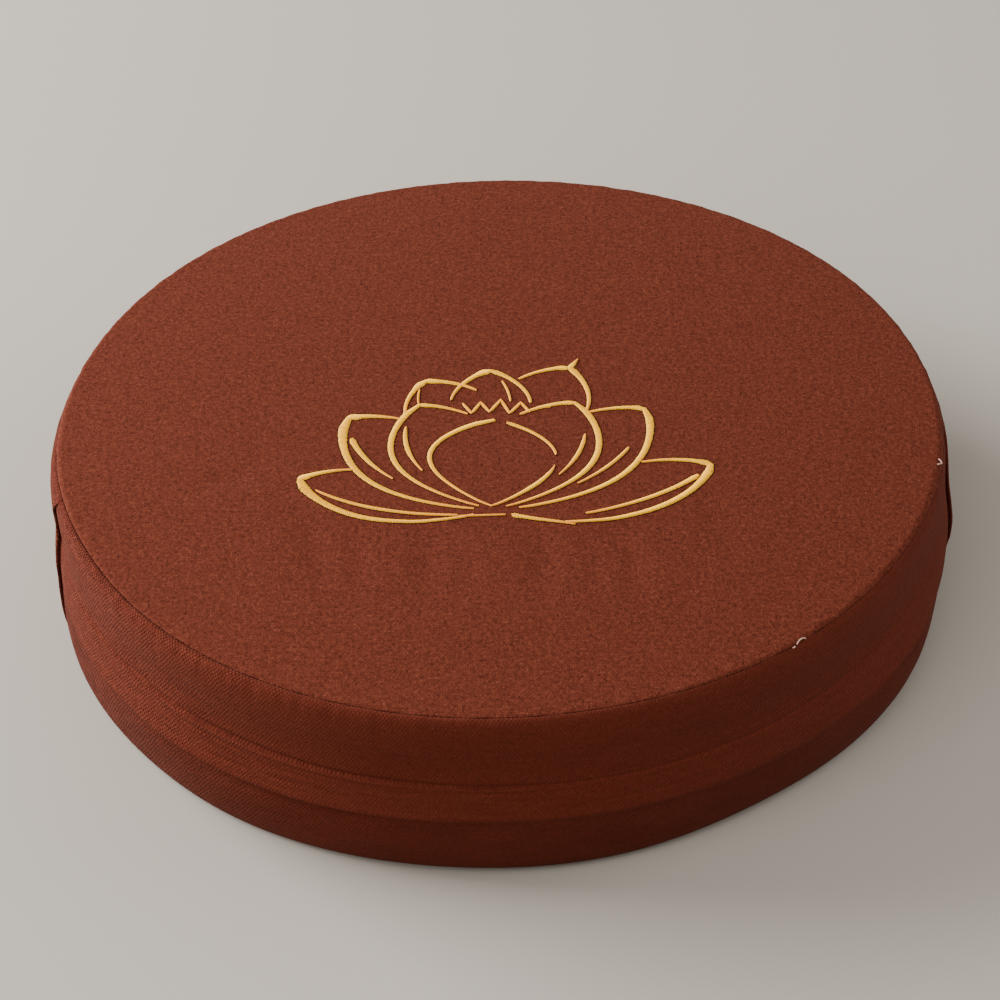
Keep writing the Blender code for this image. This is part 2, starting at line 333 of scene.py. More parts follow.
def wall_point(angle, length, depth=0.0, detail=1.0):
    """The wall's skin at a length down its section, or a depth under it."""
    radius = eased(length, np.c_[wall_steps, WALL[:, 0]])
    height = eased(length, np.c_[wall_steps, WALL[:, 1]])
    step = 0.2 * MM
    fall = height - eased(length + step, np.c_[wall_steps, WALL[:, 1]])
    swing = eased(length + step, np.c_[wall_steps, WALL[:, 0]]) - radius
    reach = np.hypot(fall, swing)
    out, up = fall / reach, swing / reach
    push = detail * creases(angle, height) - depth
    share = np.minimum(radius / SEAM_RADIUS, 1)
    high = np.clip((height / SEAM_HEIGHT - 0.8) / 0.2, 0, 1)
    low = np.clip(1 - height / (24 * MM), 0, 1)
    radius_out = (radius + push * out + swell(angle, height) * out**2) * plan(angle)
    height_out = height + push * up + course_shift(angle, height) * out**2
    height_out = height_out + top_waves(angle) * high + rim_lift(angle) * share**8 * low
    return np.stack(
        np.broadcast_arrays(
            radius_out * np.cos(angle), radius_out * np.sin(angle), height_out
        ),
        axis=-1,
    )


def panel_point(angle, share, level, crown, depth):
    """A round panel's skin, from its middle at 0 to its seam at 1, or a depth under it."""
    radius = SEAM_RADIUS * share * plan(angle)
    height = level + crown * (1 - share**CROWN_POWER) - depth
    high = level > SEAM_HEIGHT / 2
    waves = top_waves(angle) * share**2 if high else rim_lift(angle) * share**8
    return np.stack(
        np.broadcast_arrays(radius * np.cos(angle), radius * np.sin(angle), height + waves),
        axis=-1,
    )


def grid_piece(name, points, flat, around):
    """A mesh from rows of points, each as long as the cushion is round or the strip is long.

    flat holds each point's place on the flat cloth, in metres, for the weave.
    """
    count_rows, count_columns = points.shape[:2]
    column = np.arange(count_columns - (0 if around else 1))
    corner = np.stack([column, column, (column + 1) % count_columns, (column + 1) % count_columns], 1)
    faces = []
    for row in range(count_rows - 1):
        faces.append(corner + count_columns * np.array([row, row + 1, row + 1, row]))
    faces = np.concatenate(faces)
    mesh = bpy.data.meshes.new(name)
    mesh.from_pydata(points.reshape(-1, 3).tolist(), [], faces.tolist())
    weave = mesh.uv_layers.new(name="cloth")
    place = flat.reshape(-1, 2)[faces.ravel()].copy()
    if around:
        last = np.tile(column == count_columns - 1, count_rows - 1)
        place = place.reshape(-1, 4, 2)
        lap = flat[:, -1] + (flat[:, -1] - flat[:, -2])
        rows = np.repeat(np.arange(count_rows - 1), count_columns)
        place[last, 3] = lap[rows[last]]
        place[last, 2] = lap[rows[last] + 1]
    weave.data.foreach_set("uv", place.ravel())
    tidy = bmesh.new()
    tidy.from_mesh(mesh)
    bmesh.ops.remove_doubles(tidy, verts=tidy.verts, dist=0.002 * MM)
    tidy.to_mesh(mesh)
    tidy.free()
    mesh.shade_smooth()
    return placed(name, mesh)


class Paint:
    """A socket of a material's tree. Arithmetic on it adds Math nodes; node() adds any other."""

    def __init__(self, tree, socket=None):
        self.tree = tree
        self.socket = socket

    def node(self, kind, settings=None, sockets=None, output=0):
        """A node of this kind: its settings first, then the values or links of its sockets."""
        made = self.tree.nodes.new("ShaderNode" + kind)
        for name, value in (settings or {}).items():
            setattr(made, name, value)
        for name, value in (sockets or {}).items():
            if isinstance(value, Paint):
                value.into(made.inputs[name])
            else:
                made.inputs[name].default_value = value
        return Paint(self.tree, made.outputs[output])

    def into(self, place):
        self.tree.links.new(self.socket, place)

    def math(self, operation, first, second=0.0):
        return self.node("Math", {"operation": operation}, {0: first, 1: second})

    def __add__(self, other):
        return self.math("ADD", self, other)

    def __sub__(self, other):
        return self.math("SUBTRACT", self, other)

    def __rsub__(self, other):
        return self.math("SUBTRACT", other, self)

    def __mul__(self, other):
        return self.math("MULTIPLY", self, other)

    def __rmul__(self, other):
        return self.math("MULTIPLY", other, self)

    def __truediv__(self, other):
        return self.math("DIVIDE", self, other)

    def __mod__(self, other):
        return self.math("FLOORED_MODULO", self, other)

    def __pow__(self, other):
        return self.math("POWER", self, other)

    def whole(self):
        return self.math("FLOOR", self)

    def sine(self):
        return self.math("SINE", self)

    def span(self, low, high, start=0.0, end=1.0):
        """Maps low..high onto start..end, clamped."""
        return self.node(
            "MapRange", {}, {"Value": self, "From Min": low, "From Max": high,
                             "To Min": start, "To Max": end}
        )

    def at(self, across, along):
        """A vector of two numbers, for a texture."""
        return self.node("CombineXYZ", {}, {"X": across, "Y": along})

    def cloud(self, across, along, detail=1.0):
        """Soft noise from 0 to 1 on two numbers."""
        return self.node(
            "TexNoise",
            {"noise_dimensions": "2D"},
            {"Vector": self.at(across, along), "Scale": 1.0, "Detail": detail, "Roughness": 0.6},
        )

    def blend(self, share, first, second):
        """A colour between two colours."""
        made = self.tree.nodes.new("ShaderNodeMix")
        made.data_type = "RGBA"
        share.into(made.inputs[0])
        for number, colour in ((6, first), (7, second)):
            if isinstance(colour, Paint):
                colour.into(made.inputs[number])
            else:
                made.inputs[number].default_value = (*colour, 1.0)
        return Paint(self.tree, made.outputs[2])


def new_finish(name):
    """An empty material, its shader, and Paint for its tree."""
    material = bpy.data.materials.new(name)
    material.use_nodes = True
    return material, material.node_tree.nodes["Principled BSDF"], Paint(material.node_tree)


AROUND = 1 / (200 * MM)  # radians in a metre along the wall
WARP = 0.87 * MM  # from one yarn to the next, round the band
WEFT = 1.20 * MM  # and down it
YARN_DRIFT = 1.5 * MM  # how far the yarns wander


def slub_cloth(name, dark, mid, light, contrast, slubs, relief, painted_shading=((0, 0),), nap_and_grain_shade=(0, 1, 1)):
    """Plain-woven slub cloth: two sets of uneven yarns, flecks and a soft matt bloom.

    The weft is the thicker yarn and stands proud where it passes over the warp, by relief metres.
    The second-last argument lists lengths down the cloth in millimetres and how much lighter or
    darker its colour is painted there: painted light and painted shade for how the light falls on the
    band. The last argument gives how far from the left end the fluffed-up fibres begin to settle and
    have settled, and their strength: near that end the relief and the colour contrast of the grain are
    both stronger, the colour part being painted light and shade of the grain where the light grazes.
    """
    material, shader, paint = new_finish(name)
    flat = paint.node("UVMap", {"uv_map": "cloth"})
    across = flat.node("SeparateXYZ", {}, {"Vector": flat}, 0)
    along = flat.node("SeparateXYZ", {}, {"Vector": flat}, 1)
    drift = paint.cloud(across * 160, along * 160)
    weft_drift = paint.cloud(across * 140 + 31, along * 180 + 17)
    warp = (across + (drift - 0.5) * YARN_DRIFT) / WARP
    weft = (along + (weft_drift - 0.5) * YARN_DRIFT) / WEFT
    warp_yarn = warp.whole()
    weft_yarn = weft.whole()
    warp_tone = paint.cloud(warp_yarn * 5.17, along * 420)
    weft_tone = paint.cloud(weft_yarn * 4.31 + 90, across * 420)
    warp_slub = paint.cloud(warp_yarn * 3.71 + 40, along * 55, 0.0)
    weft_slub = paint.cloud(weft_yarn * 3.13 + 70, across * 55, 0.0)
    on_top = (warp_yarn + weft_yarn) % 2
    warp_tone = warp_tone + slubs[0] * warp_slub
    weft_tone = weft_tone + slubs[1] * weft_slub
    tone = warp_tone * on_top + weft_tone * (1 - on_top)
    crown_warp = (warp % 1 * math.pi).sine() ** 0.6
    crown_weft = (weft % 1 * math.pi).sine() ** 0.6
    rise = crown_warp * crown_weft
    patchy = paint.cloud(across * 120 + 5, along * 260 + 9).span(0.35, 0.6, 0.25, 1.0)
    weave = (warp * math.pi).sine() * (weft * math.pi).sine() * patchy
    fleck = paint.cloud(across * 700 + 11, along * 700 + 23, 0.0).span(0.60, 0.76)
    mottle = paint.cloud(across * 520 + 3, along * 520 + 8, 1.0)
    even = 0.5 + (slubs[0] + slubs[1]) / 4
    grain = tone - even + (mottle - 0.5) * 0.62 + (rise - 0.7) * 0.38 - fleck * 0.22
    round_length = math.tau / AROUND
    from_left = (across - (LEFT_END / AROUND - round_length / 2)) % round_length
    from_left = paint.math("ABSOLUTE", from_left - round_length / 2)
    # Near the left end the grain's relief is deeper and its colour contrast stronger: the colour part
    # is painted light and shade of the grain.
    nap_relief_and_grain_shade = from_left.span(nap_and_grain_shade[0], nap_and_grain_shade[1], nap_and_grain_shade[2], 1.0)
    # Painted light and painted shade by length down the cloth, a little patchy.
    painted_shading_patches = paint.cloud(across * 25 + 7, along * 60 + 2).span(0.25, 0.75, 0.5, 1.4)
    level = grain * contrast * nap_relief_and_grain_shade + (0.5 + painted_shading[0][1])
    for (start, before), (end, after) in zip(painted_shading, painted_shading[1:]):
        level = level + along.span(start * MM, end * MM, 0.0, after - before) * painted_shading_patches
    low = level.span(0.0, 0.5)
    high = level.span(0.5, 1.0)
    colour = paint.blend(high, paint.blend(low, dark, mid), light)
    colour.into(shader.inputs["Base Color"])
    bump = paint.node(
        "Bump",
        {},
        {"Strength": 1.0, "Distance": relief, "Height": (weave + tone) * nap_relief_and_grain_shade},
    )
    bump.into(shader.inputs["Normal"])
    shader.inputs["Roughness"].default_value = 0.9
    shader.inputs["Sheen Weight"].default_value = 0.025
    shader.inputs["Sheen Roughness"].default_value = 0.45
    shader.inputs["Sheen Tint"].default_value = (1.0, 0.55, 0.42, 1.0)
    shader.inputs["Specular IOR Level"].default_value = 0.05
    return material


BAND_DARK = (0.035, 0.0053, 0.0028)
BAND_MID = (0.084, 0.0149, 0.0074)
BAND_LIGHT = (0.147, 0.0325, 0.0165)
FRONT_COLUMNS = 560
BACK_COLUMNS = 70

band_cloth = slub_cloth(
    "band_cloth", BAND_DARK, BAND_MID, BAND_LIGHT, 0.3, (0.1, 0.7), 0.11 * MM,
    # Painted light on the shoulder and the belly, painted shade from about the lower crease down.
    painted_shading=((0, 0.0), (5, 0.0), (9, 0.02), (35, 0.0), (39, 0.03), (53, 0.03), (58, -0.12),
          (91, -0.10)),
    # Near the left end the grain's relief is deeper and its colour contrast up to 2.7 times as strong:
    # painted light and shade of the grain.
    nap_and_grain_shade=(0.05, 0.19, 2.7),
)

SEAM_SLIT = 0.1 * MM  # from the middle of a seam to the cloth's edge
LAP_STEPS = ((0, 0.1), (3, 0.6), (8, 1.3), (12, 1.5), (74, 1.5), (80, 1.2), (86, 0.4), (91, 0.0))
BACK_CLOTH = 1.4 * MM  # the back band's cloth, doubled where its ends are folded under
END_ROUND = BACK_CLOTH / 2


def band_lengths():
    """Lengths down a band from its top seam: close together at the seams and the long creases."""
    upper = np.interp(-UPPER_HEIGHT * MM, -WALL[1:-1, 1], wall_steps[1:-1])
    lower = np.interp(-LOWER_HEIGHT * MM, -WALL[1:-1, 1], wall_steps[1:-1])
    last = WALL_LENGTH - SEAM_SLIT
    places = [SEAM_SLIT]
    while places[-1] < last:
        gap = min(abs(places[-1] - upper), abs(places[-1] - lower))
        edge = min(places[-1], last - places[-1])
        step = min(max(0.34 * MM, 0.15 * gap), max(0.30 * MM, 0.3 * edge), 1.0 * MM)
        places.append(places[-1] + step)
    return np.array(places[:-1] + [last])


def lap(length):
    """How far the back band stands proud of the front one, by the length from its top seam."""
    return eased(length / MM, LAP_STEPS) * MM


def wavering(angle, length):
    """An angle moved with the back band's ends, which swing forward at the left seams."""
    left = near(angle, math.degrees(LEFT_END), 9)
    right = near(angle, math.degrees(RIGHT_END), 9)
    waver = 0.5 * np.sin(length * 95) + 0.3 * np.sin(length * 240 + 1)
    top = np.exp(-((length / (15 * MM)) ** 2))
    low = np.exp(-(((WALL_LENGTH - length) / (9 * MM)) ** 2))
    moved = left * (waver + 16 * top + 8 * low) + right * (waver + 18 * top)
    return angle + moved * MM * AROUND


def seam_depth(angle, length):
    """How deep the skin is drawn in near either seam."""
    return pinch(angle, length) + pinch(angle, WALL_LENGTH - length)


def band_point(angle, length, depth=0.0, detail=1.0):
    """A band's skin by its length from the top seam, wherever on the shoulder that seam lies."""
    down = length + roll(angle) * np.clip(1 - length / (30 * MM), 0, 1) ** 2
    return wall_point(angle, down, depth + seam_depth(angle, length), detail)


FRONT_EDGE = np.array([-3.0, -0.9, -0.5, -0.15, 0.3, 0.9]) * MM  # columns beside a folded end
left_edge = LEFT_END + FRONT_EDGE * AROUND
right_edge = RIGHT_END - FRONT_EDGE[::-1] * AROUND
front_angles = np.linspace(left_edge[-1], right_edge[0], FRONT_COLUMNS)[1:-1]
back_angles = np.linspace(right_edge[-1], left_edge[0] + math.tau, BACK_COLUMNS)[1:-1]
base_angles = np.concatenate([left_edge, front_angles, right_edge, back_angles])[None, :]
lengths = band_lengths()[:, None]
angles = wavering(base_angles, lengths)
inside = np.minimum(base_angles - LEFT_END, RIGHT_END - base_angles) / AROUND
under = BACK_CLOTH + 0.1 * MM - lap(lengths)
depth = under * np.clip((-inside - 0.3 * MM) / (0.3 * MM), 0, 1)
wall = band_point(angles, lengths, depth)

cover = CLOTH + GAP
ditch = CLOTH + 2 * GAP
top_shares = np.array([0.0, 0.3, 0.55, 0.75, 0.88, 0.96, 0.985])[:, None]
bottom_shares = np.array([0.985, 0.96, 0.88, 0.7, 0.4, 0.0])[:, None]
under_top, over_floor = angles[:1], angles[-1:]
top_cover = panel_point(under_top, top_shares, SEAM_HEIGHT, CROWN, cover)
shoulder_cover = wall_point(under_top, np.array([[0.0], [0.55], [0.97]]) * roll(under_top), cover)
top_ditch = wall_point(under_top, roll(under_top), ditch)
bottom_ditch = wall_point(over_floor, WALL_LENGTH, ditch)
bottom_cover = panel_point(over_floor, bottom_shares, 0.0, 0.0, -cover)
body_points = np.concatenate(
    [top_cover, shoulder_cover, top_ditch, wall, bottom_ditch, bottom_cover]
)
body_rows = np.concatenate(
    [(top_shares - 1)[:, 0] * SEAM_RADIUS, np.array([-0.5, -0.3, -0.2, -0.1]) * MM, lengths[:, 0],
     [WALL_LENGTH], WALL_LENGTH + (1 - bottom_shares)[:, 0] * SEAM_RADIUS]
)
row_angles = np.concatenate(
    [np.repeat(under_top, len(top_shares) + 4, 0), angles, np.repeat(over_floor, 7, 0)]
)
body_flat = np.stack(np.broadcast_arrays(row_angles / AROUND, body_rows[:, None]), axis=-1)
body = grid_piece("filled_cushion", body_points, body_flat, around=True)
body.data.materials.append(band_cloth)
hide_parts("filled_body")
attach(body, "root")

# --- back band ------------------------------------------------------------------------------------
# The strip that closes the cover round the back, of the same cloth as the front band. Its two
# upright ends are folded under and lap over the front band, a little proud of it.
BAND_COLUMNS = 300
END_STEPS = np.array([0.0, 0.06, 0.2, 0.4, 0.7, 1.3]) * MM

strip_ends = (RIGHT_END, LEFT_END + math.tau)
strip_middle = np.linspace(
    strip_ends[0] + END_STEPS[-1] * AROUND, strip_ends[1] - END_STEPS[-1] * AROUND, BAND_COLUMNS
)
strip_base = np.concatenate(
    [strip_ends[0] + END_STEPS[:-1] * AROUND, strip_middle,
     strip_ends[1] - END_STEPS[-2::-1] * AROUND]
)[None, :]
strip_angles = wavering(strip_base, lengths)
from_end = np.minimum(strip_base - strip_ends[0], strip_ends[1] - strip_base) / AROUND
short = np.clip(END_ROUND - from_end, 0, END_ROUND)
rounding = END_ROUND - np.sqrt(END_ROUND**2 - short**2)
outside = band_point(strip_angles, lengths, rounding - lap(lengths), detail=0.8)
underside = band_point(strip_angles, lengths, BACK_CLOTH - rounding - lap(lengths), detail=0.8)
strip_flat = np.stack(np.broadcast_arrays(strip_angles / AROUND, lengths), axis=-1)
back_band = grid_piece(
    "back_band_cloth",
    np.concatenate([outside, underside[::-1], outside[:1]]),
    np.concatenate([strip_flat, strip_flat[::-1], strip_flat[:1]]),
    around=False,
)
back_band.data.materials.append(band_cloth)
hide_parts("back_band")
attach(back_band, "root")

# --- bottom panel -----------------------------------------------------------------------------------
# The round that the cushion rests on, of the same cloth as the top, plain and drawn flat.
BOTTOM_RINGS = 70

PANEL_DARK = (0.041, 0.0069, 0.0036)
PANEL_MID = (0.093, 0.0185, 0.0090)
PANEL_LIGHT = (0.154, 0.0395, 0.0213)
panel_cloth = slub_cloth(
    "panel_cloth", PANEL_DARK, PANEL_MID, PANEL_LIGHT, 0.8, (0.2, 0.15), 0.035 * MM
)


def round_grid(rings):
    """Angle and share of the radius over a round, as a square grid pressed into a disc.

    The rings come closer together towards the rim.
    """
    step = np.linspace(-1, 1, 2 * rings + 1)
    x, y = np.meshgrid(step, step)
    wide = np.abs(x) >= np.abs(y)
    long = np.where(wide, x, y)
    short = np.where(wide, y, x)
    bend = np.where(long == 0, 0, short / np.where(long == 0, 1, long)) * math.pi / 4
    angle = np.where(wide, bend, math.pi / 2 - bend) + np.where(long < 0, math.pi, 0)
    reach = np.abs(long)
    share = 0.14 * reach + 0.86 * (1 - (1 - reach) ** 2)
    return angle, share


def round_flat(angle, share):
    radius = SEAM_RADIUS * share
    return np.stack([radius * np.cos(angle), radius * np.sin(angle)], axis=-1)


angle_grid, share_grid = round_grid(BOTTOM_RINGS)
share_grid = share_grid * (1 - SEAM_SLIT / SEAM_RADIUS)
bottom_pinch = pinch(angle_grid, (1 - share_grid) * SEAM_RADIUS)
bottom_points = panel_point(angle_grid, share_grid, 0.0, 0.0, -bottom_pinch)
bottom_flat = round_flat(angle_grid, share_grid)
bottom = grid_piece("bottom_round", bottom_points, bottom_flat, around=False)
bottom.data.materials.append(panel_cloth)
thickness = bottom.modifiers.new("thickness", "SOLIDIFY")
thickness.thickness = 1.0 * MM
thickness.offset = -1
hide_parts("bottom_panel")
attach(bottom, "root")

# --- top panel --------------------------------------------------------------------------------------
# The embroidered round, drawn tight over the crown of the filling. The embroidery's stitches
# pull the cloth in a little below the flower, and the seam gathers it finely along the rim.
TOP_RINGS = 100

PUCKERS = (  # from, to, depth and width, in millimetres on the top
    (-88, -70, -70, -128, 0.75, 7.0),
    (-66, -78, -58, -136, 0.60, 6.0),
    (-36, -76, -27, -134, 0.85, 6.5),
    (-20, -84, -12, -128, 0.45, 5.5),
    (14, -76, 22, -134, 0.85, 7.0),
    (36, -80, 44, -130, 0.50, 6.0),
    (48, -74, 62, -134, 0.75, 6.5),
    (84, -52, 104, -100, 0.50, 8.0),
    (-104, -30, -140, -60, 0.50, 8.0),
)


def top_relief(x, y, angle, share):
    """The puckers under the flower and the fine gathers along the rim."""
    sunk = 0.0
    for x0, y0, x1, y1, depth, width in PUCKERS:
        run = np.array([x1 - x0, y1 - y0], float)
        size = np.hypot(*run)
        run = run / size
        along = ((x / MM - x0) * run[0] + (y / MM - y0) * run[1]) / size
        aside = (x / MM - x0) * run[1] - (y / MM - y0) * run[0] + 2.0 * np.sin(5 * along)
        fade = np.sin(math.pi * np.clip(0.15 + 0.85 * along, 0, 1)) ** 1.2
        sunk = sunk + depth * fade * np.exp(-((aside / width) ** 2))
    rim = np.exp(-(1 - share) * SEAM_RADIUS / (9 * MM))
    gathers = np.sin(59 * angle + 2 * np.sin(3 * angle)) + 0.7 * np.sin(101 * angle + 1.3)
    return (0.10 * rim * gathers - sunk) * MM


def top_skin(angle, share, depth=0.0):
    """The top panel's skin: over the crown, then down round the shoulder to its seam."""
    reach = share * (SEAM_RADIUS + roll(angle))
    crown = panel_point(angle, np.minimum(reach / SEAM_RADIUS, 1), SEAM_HEIGHT, CROWN, depth)
    shoulder = wall_point(angle, np.maximum(reach - SEAM_RADIUS, 0), depth)
    skin = np.where((reach > SEAM_RADIUS)[..., None], shoulder, crown)
    skin[..., 2] += top_relief(skin[..., 0], skin[..., 1], angle, share)
    return skin


angle_grid, share_grid = round_grid(TOP_RINGS)
share_grid = share_grid * (1 - SEAM_SLIT / SEAM_RADIUS)
from_seam = (1 - share_grid) * (SEAM_RADIUS + roll(angle_grid))
top_points = top_skin(angle_grid, share_grid, pinch(angle_grid, from_seam))
top_flat = round_flat(angle_grid, share_grid)
top = grid_piece("embroidered_round", top_points[::-1], top_flat[::-1], around=False)
top.data.materials.append(panel_cloth)
thickness = top.modifiers.new("thickness", "SOLIDIFY")
thickness.thickness = 1.0 * MM
thickness.offset = -1
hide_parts("top_panel")
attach(top, "root")

# --- lotus embroidery -------------------------------------------------------------------------------
# A lotus in glossy yellow satin stitch, worked through the top panel before it was sewn in. Each
# stroke is a row of slanting threads laid side by side, so it swells and thins with its width.
LOTUS_ROOT = (-4.0, -69.0)  # where the petals meet, in millimetres on the top
PETALS = {  # x and y of its foot from the root, lean right in degrees, reach and breadth
    "middle": (0, 4, 1, 61, 56),
    "left": (-2, 3, -23, 79, 50),
    "right": (4, 3, 24, 82, 48),
    "wide left": (-4, 2, -43, 88, 46),
    "wide right": (6, 2, 41, 95, 46),
    "low left": (-8, -2, -72, 80, 32),
    "low right": (18, -6, 63, 88, 32),
    "left behind": (-4, 42, -27, 58, 40),
    "behind": (0, 44, -1, 58, 36),
    "right behind": (8, 44, 24, 66, 40),
}
PETAL_LINES = (  # petal, side, share of the breadth, from and to from the tip, widths along it
    ("middle", -1, 1.0, 0.0, 1.0, 3.2, 2.2, 1.1), ("middle", 1, 1.0, 0.03, 0.40, 2.4, 1.8, 1.3),
    ("middle", 1, 1.0, 0.53, 1.0, 0.9, 2.5, 1.1),
    ("left", -1, 1.0, 0.0, 0.97, 3.4, 2.6, 1.0), ("left", 1, 1.0, 0.0, 0.18, 3.2, 1.8, 1.2),
    ("left", -1, 0.68, 0.16, 0.56, 1.6, 2.4, 1.0),
    ("right", 1, 1.0, 0.0, 0.98, 3.4, 2.8, 1.1), ("right", -1, 1.0, 0.0, 0.22, 3.2, 2.0, 1.4),
    ("right", 1, 0.66, 0.24, 0.62, 1.4, 2.2, 0.9),
    ("wide left", -1, 1.0, 0.0, 0.97, 5.0, 2.8, 1.3), ("wide left", 1, 1.0, 0.0, 0.19, 5.0, 2.2, 1.1),
    ("wide left", -1, 0.64, 0.14, 0.52, 3.4, 2.4, 1.0),
    ("wide right", 1, 1.0, 0.0, 0.95, 4.0, 2.7, 1.4), ("wide right", -1, 1.0, 0.0, 0.19, 3.8, 2.1, 1.4),
    ("wide right", 1, 0.62, 0.28, 0.64, 1.6, 1.9, 1.0),
    ("low left", -1, 1.0, 0.0, 1.0, 5.2, 2.8, 1.4), ("low left", 1, 1.0, 0.0, 0.26, 4.4, 2.1, 1.1),
    ("low left", -1, 0.55, 0.12, 0.92, 1.3, 2.1, 1.3),
    ("low right", 1, 1.0, 0.0, 0.86, 4.4, 2.9, 1.5), ("low right", -1, 1.0, 0.0, 0.30, 4.2, 2.1, 1.3),
    ("low right", 1, 0.52, 0.10, 0.74, 3.0, 2.2, 1.3),
    ("left behind", -1, 1.0, 0.0, 0.36, 4.0, 1.8, 1.4),
    ("left behind", 1, 1.0, 0.0, 0.28, 4.2, 2.2, 1.5),
    ("left behind", -1, 0.60, 0.08, 0.24, 1.1, 1.2, 1.0),
    ("behind", -1, 1.0, 0.0, 0.38, 4.4, 2.0, 1.2), ("behind", 1, 1.0, 0.0, 0.42, 3.4, 2.1, 1.6),
    ("behind", 1, 0.5, 0.14, 0.40, 1.2, 1.4, 1.1),
    ("right behind", -1, 1.0, 0.0, 0.26, 3.8, 1.9, 1.4),
    ("right behind", 1, 1.0, 0.0, 0.40, 3.8, 2.2, 1.5),
)
FLICKS = (  # short straight strokes: from x, y to x, y, and widths along it
    (-14, -3, 6, -2, 0.9, 1.1, 0.9), (9, -2, 36, -8, 3.2, 2.0, 1.1),
    (35, 104, 39, 111, 3.6, 2.4, 0.9), (20, 74, 26, 76, 1.8, 2.2, 3.0),
)
STAMENS = ((-13, 77), (-9, 70), (-5, 78), (-1, 71), (4, 80), (8, 70), (13, 78), (17, 71))
STAMEN_WIDTHS = (1.3, 1.7, 1.4)
PETAL_CURVE = 0.85  # under 1: fuller above its middle, with a rounder tip
STROKE_POINTS = 24
STITCH_PITCH = 0.42 * MM
THREAD = 0.40 * MM
STITCH_ARCH = 0.45 * MM


def top_place(x, y, above):
    """The point of the top panel's skin at x, y in metres, lifted by a height above it."""
    angle = np.arctan2(y, x)
    share = np.hypot(x, y) / plan(angle) / (SEAM_RADIUS + roll(angle))
    skin = top_skin(angle, share)
    skin[..., 2] += above
    return skin


def petal_line(petal, side, share, first, last):
    """x and y along a petal's side, from first to last, where 0 is its tip and 1 its foot."""
    foot_x, foot_y, lean, reach, breadth = PETALS[petal]
    t = np.linspace(first, last, STROKE_POINTS)
    aside = side * share * breadth / 2 * np.sin(math.pi * t**PETAL_CURVE) ** PETAL_CURVE
    up = reach * (1 - t)
    lean = math.radians(lean)
    x = foot_x + up * math.sin(lean) + aside * math.cos(lean)
    y = foot_y + up * math.cos(lean) - aside * math.sin(lean)
    return x, y


def stroke(x, y, start, middle, end):
    """A stroke's points on the top panel and half its width at each of them."""
    length = np.hypot(np.diff(x), np.diff(y)).sum()
    t = np.linspace(0, 1, len(x))
    tip = min(1.2 / length, 0.1)
    shoulder = 0.35 * start + 0.65 * middle
    width = np.interp(
        t, (0, tip, 0.17, 0.5, 1 - tip, 1), (0.6 * start, start, shoulder, middle, end, 0.7 * end)
    )
    place = top_place((LOTUS_ROOT[0] + x) * MM, (LOTUS_ROOT[1] + y) * MM, 0.03 * MM)
    return place, width / 2 * MM


def straight(x0, y0, x1, y1, *widths):
    return stroke(np.linspace(x0, x1, STROKE_POINTS), np.linspace(y0, y1, STROKE_POINTS), *widths)


strokes = [stroke(*petal_line(*line[:5]), *line[5:]) for line in PETAL_LINES]
strokes += [straight(*flick) for flick in FLICKS]
strokes += [straight(*one, *two, *STAMEN_WIDTHS) for one, two in zip(STAMENS, STAMENS[1:])]


def thread_mesh(name, sides, stations, width, arch, dip):
    """One thread from -1 to 1 along X, arched up, of a size in metres across."""
    along = np.linspace(-1, 1, stations)
    around = np.arange(sides) / sides * math.tau
    points = [
        (x, width / 2 * math.cos(a), arch * (1 - x**4) - dip * x**4 + width / 2 * math.sin(a))
        for x in along
        for a in around
    ]
    faces = []
    for i in range(stations - 1):
        for j in range(sides):
            a, b = i * sides + j, i * sides + (j + 1) % sides
            faces.append((a, b, b + sides, a + sides))
    faces.append(tuple(range(sides - 1, -1, -1)))
    faces.append(tuple(range(len(points) - sides, len(points))))
    mesh = bpy.data.meshes.new(name)
    mesh.from_pydata(points, [], faces)
    mesh.shade_smooth()
    return mesh


